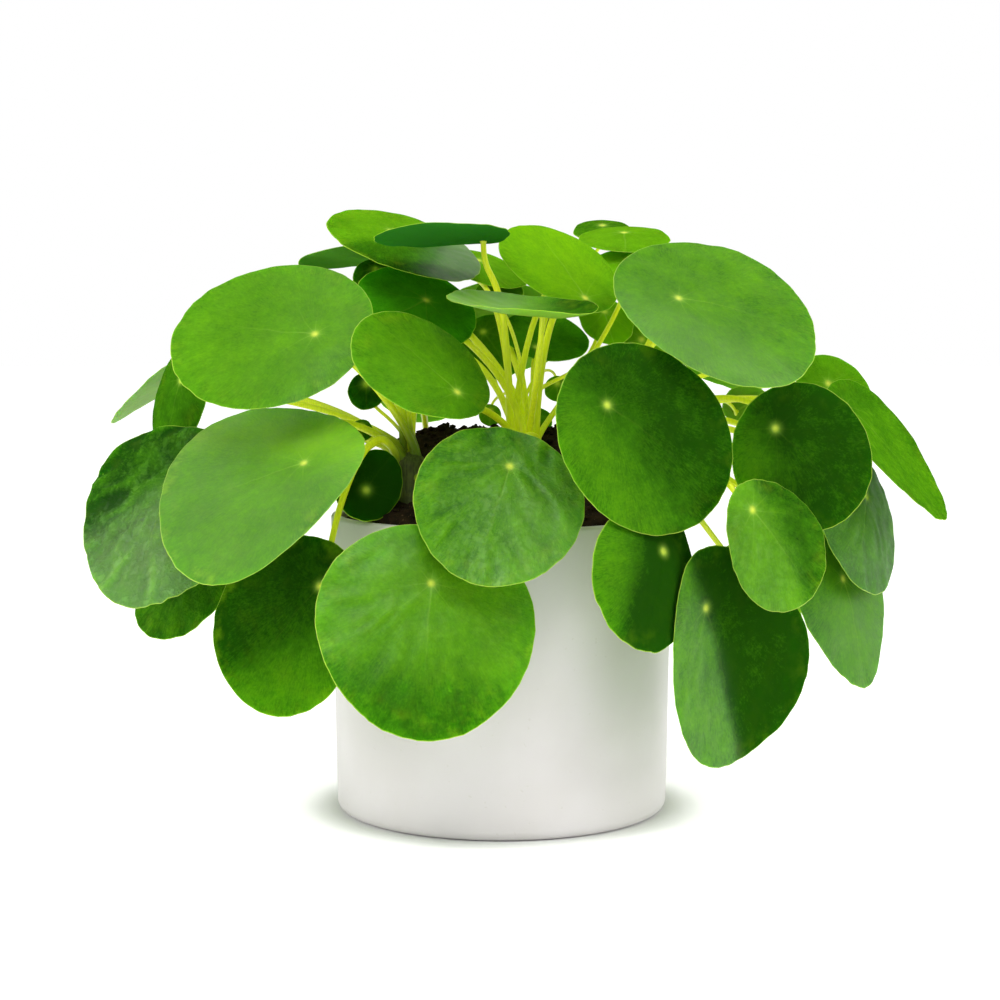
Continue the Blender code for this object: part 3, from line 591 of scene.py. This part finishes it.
def makeLeaf(name, row, number, material):
    leaf = {**bladeDefaults, **row}
    seed = number * blade["seedStep"]
    large = leaf["long"] > blade["largeFrom"]
    count = blade["segments"][0 if large else 1 if leaf["long"] > blade["mediumFrom"] else 2]
    topRings = blade["rings"] if large else blade["rings"][::2]
    puckered = leaf["quilt"] > blade["puckeredFrom"]        # then both faces need the same rings
    underRings = topRings[::-1] if puckered else blade["underRings"]
    bm = bmesh.new()
    spotLayer = bm.verts.layers.float_vector.new("spot")
    formLayer = bm.verts.layers.float_vector.new("form")
    looksLayer = bm.verts.layers.float_vector.new("looks")
    crinkleLayer = bm.verts.layers.float_vector.new("crinkle")

    axes = bladeAxes(leaf)
    paintedShadeAmount, sheen = leaf["paintedLightAndShade"][1], leaf["shine"][1]

    def beyond(spot, setting):                  # 0 to 1 over the line that the painted shade setting or the sheen setting draws
        way, _, start, soft = setting
        toward = Vector((math.cos(math.radians(way)), 0, math.sin(math.radians(way))))
        reach = (axes[0] * spot.x + axes[1] * spot.y).dot(toward) / leaf["long"] * 2
        return 0.5 + 0.5 * math.tanh((reach - start) / soft)

    def corner(angle, share, drop, under):
        spot, height, gap, puff = bladePoint(leaf, angle, share, seed)
        made = bm.verts.new(Vector((spot.x, spot.y, height - drop)) * mm)
        # painted shade over part of the blade, painted light where its amount is below 0; gloss and painted
        # sheen fade where it shades
        part = beyond(spot, leaf["paintedLightAndShade"])
        toneAndShade = leaf["toneAndShade"] + paintedShadeAmount * part
        glossAndPaintedSheen = leaf["glossAndPaintedSheen"] * (1 - max(0, min(1, paintedShadeAmount * blade["waxLoss"])) * part)
        glossAndPaintedSheen += sheen * beyond(spot, leaf["shine"])
        made[spotLayer] = (spot.x, spot.y, seed)
        made[formLayer] = (gap, under, toneAndShade)
        made[looksLayer] = (leaf["fleck"], leaf["coolTintAndUnderShade"], min(1, glossAndPaintedSheen))
        made[crinkleLayer] = (leaf["quilt"], puff, 0)
        return made

    def ring(share, drop, under):
        return [corner(math.tau * i / count, share, drop, under) for i in range(count)]

    thin = blade["rimThick"]
    inset = 1 - thin / leaf["long"]
    rings = [ring(share, 0, 0) for share in topRings]
    rings += [ring(inset, blade["rimInset"], 0), ring(1, thin / 2, 0.5),
              ring(inset, thin - blade["rimInset"], 1)]
    for share in underRings:
        thick = thin + (blade["thick"] - thin) * min(1, (1 - share) / blade["rimShare"])
        rings.append(ring(share, thick, 1))
    joinRings(bm, rings)
    capRing(bm, rings[0], corner(0, 0, 0, 0), flip=True)
    capRing(bm, rings[-1], corner(0, 0, blade["thick"], 1))
    bmesh.ops.recalc_face_normals(bm, faces=bm.faces)
    bm.transform(Matrix(axes).transposed().to_4x4())
    piece = addPiece(name + "_blade", bm, material)
    piece.location = Vector(leaf["hub"]) * mm
    bpy.context.view_layer.update()
    standFor(piece, "leaf_green", name)


leafSurface = leafMaterial()
number = 0
for side, rows in leaves.items():
    for place, row in enumerate(rows, 1):
        number += 1
        makeLeaf(f"leaf_{side}_{place}", row, number, leafSurface)
print("leaves made:", number)


# The stems: three short woody ones, with all their leaf stalks. ladder: how much lower the stalks of
# low leaves start. spread: how far out they start, as a share of the radius. deep: how dark the painted shade
# at their feet is.
stems = {"left": {"top": (-36, -32, 148), "ladder": 9, "spread": 0.45, "deep": 1},
         "mid": {"top": (9, -3, 155), "ladder": 0, "spread": 0.8, "deep": 0},
         "right": {"top": (40, -18, 147), "ladder": 0, "spread": 0.5, "deep": 0.7}}
stalk = {"ladderAbove": 20, "ladderSpan": 60, "stemRadius": 6.5, "stemTaper": 0.9, "stemDepth": 30,
         "stemRise": 1, "stemSteps": 15, "stemSides": 20, "ridge": 0.35, "ridges": 30, "domeFrom": 0.85,
         "stemSeedStep": 40, "seedStep": 1.7, "thinnest": 0.35, "fullSize": 90,
         "footRadius": 1.6, "tipRadius": 1.1, "sheath": 0.5, "sheathReach": 0.06, "collar": (1.25, 1.8),
         "lastSteps": (2.2, 1.2, 0.45),
         "rootDepth": 3, "next": 2.4, "setOut": 0.2, "hook": 0.25, "reach": 3.5,
         "steps": 22, "sides": 10, "wobble": 0.5, "wobbles": 2.2, "noiseSeed": 7,
         "foot": (0.66, 0.78, 0.013), "middle": (0.72, 0.82, 0.012), "head": (0.64, 0.74, 0.02),
         "footShade": (0.16, 0.24, 0.010), "shadeReach": 26,
         "streak": (0.42, 0.55, 0.015), "bark": (0.06, 0.075, 0.015), "paleBark": (0.12, 0.14, 0.03),
         "rough": 0.38, "glow": 0.16, "bump": 0.3, "bumpDepth": 0.2}


def stalkPoints(which, leaf, index, seed):      # from the stem up and into the underside of the blade
    stem = stems[which]
    top = Vector(stem["top"])
    normal = bladeAxes(leaf)[2]
    hub = Vector(leaf["hub"])
    around = index * stalk["next"]
    low = (top.z + stalk["ladderAbove"] - leaf["hub"][2]) / stalk["ladderSpan"]
    low = min(1, max(0, low))
    foot = top - upright * (stalk["rootDepth"] + stem["ladder"] * low)
    foot += Vector((math.cos(around), math.sin(around), 0)) * stalk["stemRadius"] * stem["spread"]
    end = hub - normal * stalk["reach"]
    span = (end - foot).length
    hanging = math.cos(math.radians(leaf["lift"])) ** 2     # a blade that hangs is reached from above
    leave = foot + (end - foot) * stalk["setOut"]
    leave.z += span * leaf["rise"]
    arrive = end - normal * span * stalk["hook"]
    arrive.z += span * leaf["over"] * hanging
    points = []
    for step in range(stalk["steps"] + 1):
        t = step / stalk["steps"]
        s = 1 - t
        point = foot * s ** 3 + leave * 3 * s * s * t + arrive * 3 * s * t * t + end * t ** 3
        drift = noise.noise_vector(Vector((t * stalk["wobbles"], seed, 0.5))) * stalk["wobble"]
        points.append(point + drift * math.sin(math.pi * t))
    return points + [hub - normal * short for short in stalk["lastSteps"]]


def tube(bm, layer, points, radii, kind, sides, deep=0.0):
    rings = []
    side = (points[1] - points[0]).orthogonal().normalized()
    length = 0
    for i, point in enumerate(points):
        way = (points[min(i + 1, len(points) - 1)] - points[max(i - 1, 0)]).normalized()
        side = (side - way * side.dot(way)).normalized()
        other = way.cross(side)
        length += (point - points[max(i - 1, 0)]).length
        ring = []
        for k in range(sides):
            a = math.tau * k / sides
            made = bm.verts.new((point + (side * math.cos(a) + other * math.sin(a)) * radii[i]) * mm)
            made[layer] = (max(0, 1 - length / stalk["shadeReach"]) * deep, i / (len(points) - 1), kind)
            ring.append(made)
        rings.append(ring)
    joinRings(bm, rings)
    for ring, point, flip in ((rings[0], points[0], True), (rings[-1], points[-1], False)):
        middle = bm.verts.new(point * mm)
        middle[layer] = ring[0][layer]
        capRing(bm, ring, middle, flip)


def stalkMaterial():
    material, wire, inputs = newMaterial("pilea stalk", Specular_IOR_Level=0.4, Subsurface_Weight=0.7,
                                         Subsurface_Radius=(1, 1, 0.2), Subsurface_Scale=0.0025,
                                         Emission_Strength=stalk["glow"])
    way = wire.node("Attribute", {"attribute_name": "way"}, {}, "Vector")
    shaded = wire.node("SeparateXYZ", {}, {"Vector": way})
    along, woody = shaded.out("Y"), shaded.out("Z")
    place = wire.node("TexCoord", {}, {}, "Object")
    streaks = place.vector("MULTIPLY", (1400, 1400, 120)).grain(1, 2)
    clouds = place.grain(120, 2)
    colour = wire.node("ValToRGB", {"stops": ((0, stalk["foot"]), (0.45, stalk["middle"]), (1, stalk["head"]))},
                       {"Fac": along + (clouds - 0.5) * 0.3}, "Color")
    colour = (streaks.fade(0.35, 0.7) * 0.35).blend(colour, stalk["streak"])
    colour = shaded.fade(0, 0.8).blend(colour, stalk["footShade"])      # painted shade: the stalks darker near the stem, under the leaves
    bark = streaks.fade(0.3, 0.7).blend(stalk["bark"], stalk["paleBark"])
    # painted light: the green stalks glow faintly in their own colour, while the trunk and the shaded feet do
    # not
    plug(inputs, Base_Color=woody.blend(colour, bark),
         Emission_Color=woody.sums("MAXIMUM", woody, shaded).blend(colour, (0, 0, 0)),
         Roughness=stalk["rough"] + woody * 0.35 + (streaks - 0.5) * 0.15)
    relief = streaks + woody * place.grain(600, 3)
    plug(inputs, Normal=wire.node("Bump", {}, {"Strength": stalk["bump"], "Distance": stalk["bumpDepth"] * mm,
                                               "Height": relief}))
    return material


def makeStems(which, firstSeed, material):
    bm = bmesh.new()
    layer = bm.verts.layers.float_vector.new("way")
    base = Vector(stems[which]["top"]) - upright * stalk["stemDepth"]
    trunk, girth = [], []
    for step in range(stalk["stemSteps"] + 1):
        share = step / stalk["stemSteps"]
        trunk.append(base + upright * (stalk["stemDepth"] + stalk["stemRise"]) * share)
        ridge = stalk["ridge"] * math.sin(share * stalk["ridges"])
        dome = max(0, (share - stalk["domeFrom"]) / (1 - stalk["domeFrom"]))
        end = math.sqrt(max(0.02, 1 - dome ** 2))
        girth.append((stalk["stemRadius"] * (1 - (1 - stalk["stemTaper"]) * share) + ridge) * end)
    tube(bm, layer, trunk, girth, 1, stalk["stemSides"])
    for index, row in enumerate(leaves[which]):
        leaf = {**bladeDefaults, **row}
        points = stalkPoints(which, leaf, index, firstSeed + index * stalk["seedStep"])
        size = min(1, stalk["thinnest"] + leaf["long"] / stalk["fullSize"])
        radii = []
        for i in range(len(points)):
            share = i / (len(points) - 1)
            sheath = stalk["sheath"] * math.exp(-(share / stalk["sheathReach"]) ** 2)
            radius = stalk["footRadius"] + (stalk["tipRadius"] - stalk["footRadius"]) * share
            radii.append((radius + sheath) * size)
        radii[-2] *= stalk["collar"][0]
        radii[-1] *= stalk["collar"][1]
        tube(bm, layer, points, radii, 0, stalk["sides"], stems[which]["deep"])
    bmesh.ops.recalc_face_normals(bm, faces=bm.faces)
    standFor(addPiece(f"stems_{which}_grown", bm, material), "stalk_green", f"stems_{which}")


noise.seed_set(stalk["noiseSeed"])              # without it the stalks bend in another way each run
stalkSurface = stalkMaterial()
for order, which in enumerate(stems):
    makeStems(which, order * stalk["stemSeedStep"], stalkSurface)
print("stems made")


# The studio, in metres: a pale floor that runs out to white, and soft light from above
studio = {"floorRings": (0.3, 1, 6), "floorSegments": 96, "floorDrop": 0.00005,
          "floor": (0.92, 0.92, 0.92), "floorWarm": (0.91, 0.91, 0.905),
          "floorGlow": 0.55, "glowFrom": 0.067, "glowTo": 0.087,
          "backdrop": 1.0, "sky": 0.7, "back": 0.6, "front": 0.08, "side": 0.75, "lean": 0.05,
          "aim": (0, 0, 0.13),
          "lights": {"key": {"place": (-0.1, -0.65, 1.05), "size": 0.9, "power": 7},
                     "left fill": {"place": (-1.1, -0.4, 0.5), "size": 0.6, "power": 4},
                     "right fill": {"place": (1.1, -0.4, 0.5), "size": 0.6, "power": 4.5},
                     "front fill": {"place": (-0.1, -1.3, 0.45), "size": 0.6, "power": 0.55}}}


def makeFloor():
    bm = bmesh.new()
    count, z = studio["floorSegments"], -studio["floorDrop"]
    rings = [[bm.verts.new((r * math.cos(a), r * math.sin(a), z))
              for a in (math.tau * i / count for i in range(count))] for r in studio["floorRings"]]
    joinRings(bm, rings)
    capRing(bm, rings[0], bm.verts.new((0, 0, z)), flip=True)
    bmesh.ops.recalc_face_normals(bm, faces=bm.faces)
    material, wire, inputs = newMaterial("studio floor", Roughness=0.9, Specular_IOR_Level=0.1,
                                         Emission_Strength=studio["floorGlow"])
    place = wire.node("TexCoord", {}, {}, "Object")
    reach = wire.node("VectorMath", {"operation": "LENGTH"}, {0: place}, "Value")
    # painted light: the floor glows away from the pot, so only the shade close round its foot stays
    plug(inputs, Base_Color=place.grain(3, 2).blend(studio["floor"], studio["floorWarm"]),
         Emission_Color=reach.fade(studio["glowFrom"], studio["glowTo"]).blend((0, 0, 0), (1, 1, 1)))
    addPiece("floor", bm, material)


def makeLights():
    world = bpy.data.worlds.new("studio")
    bpy.context.scene.world = world
    world.use_nodes = True
    tree = world.node_tree
    wire = Wire(tree)
    background = tree.nodes["Background"]
    way = wire.node("SeparateXYZ", {}, {"Vector": wire.node("TexCoord", {}, {}, "Generated")})
    around = way.out("Y").fade(-0.5, 0.5, studio["front"], studio["back"])
    sides = abs(way).fade(0.5, 1.0) * studio["side"]
    around = around.sums("MAXIMUM", around, sides) * (1 - way * studio["lean"])
    above = way.out("Z").fade(0.4, 0.85)
    dome = around * (1 - above) + above * studio["sky"]
    seen = wire.node("LightPath", {}, {}, "Is Camera Ray")
    strength = dome * (1 - seen) + seen * studio["backdrop"]
    tree.links.new(strength.socket, background.inputs["Strength"])
    background.inputs["Color"].default_value = (1, 1, 1, 1)
    for name, made in studio["lights"].items():
        lamp = bpy.data.lights.new(name, "AREA")
        lamp.shape = "DISK"
        lamp.size = made["size"]
        lamp.energy = made["power"]
        light = bpy.data.objects.new(name, lamp)
        light.location = made["place"]
        light.rotation_euler = (Vector(studio["aim"]) - light.location).to_track_quat("-Z", "Y").to_euler()
        light.visible_camera = False
        light.visible_glossy = name == "key"                # the fills soften shade without a shine
        bpy.context.scene.collection.objects.link(light)


makeFloor()
makeLights()
print("studio set")
